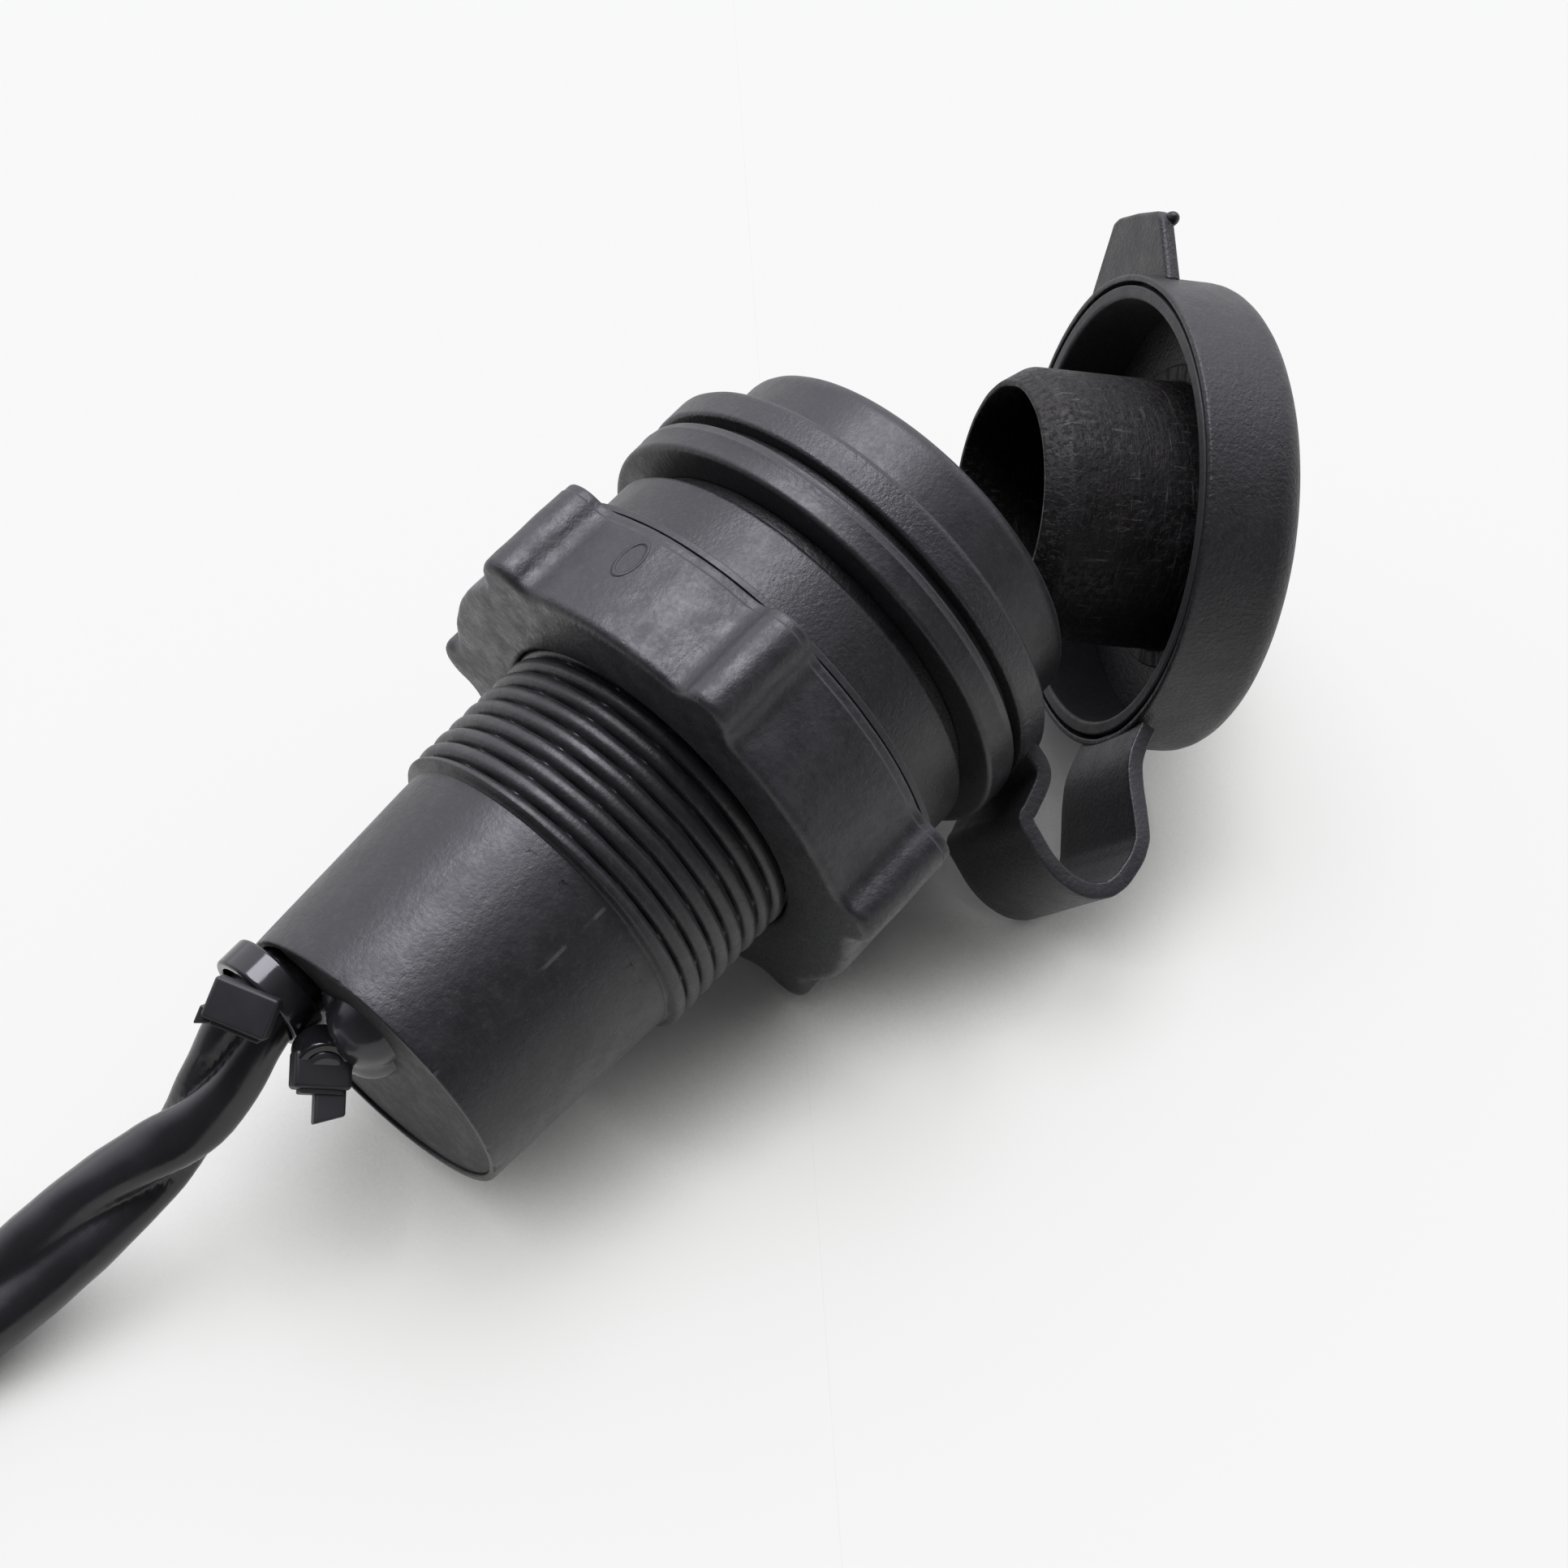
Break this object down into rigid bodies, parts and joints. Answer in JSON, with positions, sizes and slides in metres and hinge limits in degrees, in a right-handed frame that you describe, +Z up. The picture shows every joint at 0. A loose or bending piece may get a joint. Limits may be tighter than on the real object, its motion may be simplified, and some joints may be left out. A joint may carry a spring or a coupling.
{
  "type": "car 12v power socket",
  "caption": "Panel-mount 12 volt power socket with threaded housing, lobed nut, sealing collar, strap-tethered rubber cap and a sleeved two-wire lead.",
  "frame": {"origin": "middle of the socket's box on the surface it lies on, without the lead", "axes": "+X runs towards the socket's mouth along the surface, +Z up, +Y across, towards the side where the lead lies"},
  "size_m": [0.2263, 0.0844, 0.0435],
  "materials": {
    "housing_plastic": "satin, scuffed",
    "nut_plastic": "fine mottled grain",
    "cap_rubber": "matte, fine grain",
    "plug_rubber": "rough, speckled",
    "plated_steel": "bright plated",
    "insulator": "pressed board",
    "brass": "dull",
    "red_insulation": "smooth",
    "black_insulation": "smooth",
    "solder": "bright",
    "adhesive": "smooth, slightly glossy",
    "tie_nylon": "glossy band",
    "lead_sleeve_vinyl": "glossy",
    "connector_plastic": "satin"
  },
  "bodies": {
    "socket": {"housing": "housing_plastic", "sealing_collar": "housing_plastic", "cap_ring": "cap_rubber", "strap_bend": "cap_rubber", "contact_sleeve": "plated_steel", "contact_insulator": "insulator", "centre_contact": "brass", "contact_rivet": "plated_steel", "positive_tag": "brass", "negative_tag": "plated_steel", "positive_wire": "red_insulation", "negative_wire": "black_insulation", "solder_joints": "solder", "end_cover": "housing_plastic", "potting_seal": "adhesive", "cable_tie_upper": "tie_nylon", "cable_tie_lower": "tie_nylon", "lead_sleeve": "lead_sleeve_vinyl", "lead_coil": "lead_sleeve_vinyl", "lead_tail": "lead_sleeve_vinyl", "connector_boot": "connector_plastic", "connector_body": "connector_plastic", "connector_pins": "plated_steel"},
    "washer": {"slip_washer": "nut_plastic"},
    "nut": {"mounting_nut": "nut_plastic"},
    "cap": {"cap_shell": "cap_rubber", "cap_liner": "cap_rubber", "cap_plug": "plug_rubber"}
  },
  "joints": [
    {"name": "cap_hinge", "type": "hinge", "parent": "socket", "child": "cap", "pos_m": [0.0124, -0.01997, 0.00856], "axis": [0.1221, 0.5495, -0.8266], "range_deg": [-46.1, 75], "deforming": ["strap_bend"]},
    {"name": "nut_travel", "type": "slide", "parent": "socket", "child": "washer", "axis": [0.9893, 0, 0.1461], "range_m": [-0.0081, 0]},
    {"name": "nut_turn", "type": "hinge", "parent": "washer", "child": "nut", "pos_m": [-0.00799, 0.00376, 0.02132], "axis": [0.9893, 0, 0.1461], "range_deg": [-1800, 0]}
  ],
  "couplings": [
    {"joint": "nut_travel", "follows": "nut_turn", "m_per_rad": 0.00025465}
  ]
}
